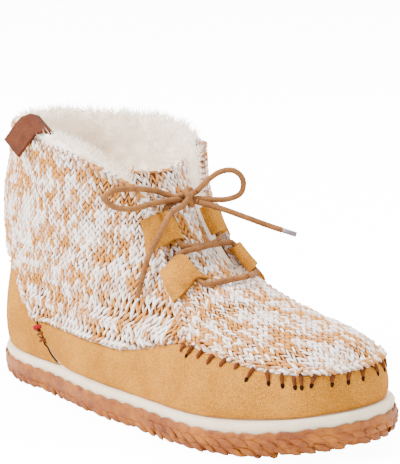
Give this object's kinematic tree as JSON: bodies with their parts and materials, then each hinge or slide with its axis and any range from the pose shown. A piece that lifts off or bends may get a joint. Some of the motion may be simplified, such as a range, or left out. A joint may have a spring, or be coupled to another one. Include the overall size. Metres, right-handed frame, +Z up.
{
  "type": "ankle boot",
  "caption": "Knit and suede moccasin ankle boot for the right foot, fleece lined, laced over a tongue through folded tabs, on a low lugged rubber sole.",
  "frame": {"origin": "middle of the outsole's footprint, on the floor plane that the heel and the forefoot stand on", "axes": "+X towards the toe, +Y towards the medial side, +Z up; the lateral side is -Y"},
  "size_m": [0.259, 0.1014, 0.1466],
  "materials": {
    "gum_rubber": "satin",
    "cream_foam": "matte",
    "insole_felt": "soft pile",
    "cream_fleece": "soft pile",
    "marled_knit": "knitted",
    "tan_suede": "napped",
    "brown_leather": "matte",
    "tan_lace": "matte",
    "lace_tip": "satin"
  },
  "bodies": {
    "root": {"outsole": "gum_rubber", "midsole": "cream_foam", "insole": "insole_felt", "upper": "cream_fleece", "quarter_lateral": "marled_knit", "quarter_medial": "marled_knit", "vamp": "marled_knit", "tongue": "marled_knit", "counter": "tan_suede", "mudguard": "tan_suede", "tab_lateral_lower": "tan_suede", "tab_lateral_upper": "tan_suede", "tab_medial_lower": "tan_suede", "tab_medial_upper": "tan_suede", "pull_loop": "brown_leather", "lace_bars": "tan_lace", "knot": "tan_lace", "bow_lateral": "tan_lace", "bow_medial": "tan_lace", "end_lateral": "tan_lace", "end_medial": "tan_lace", "aglet_lateral": "lace_tip", "aglet_medial": "lace_tip"}
  },
  "joints": []
}
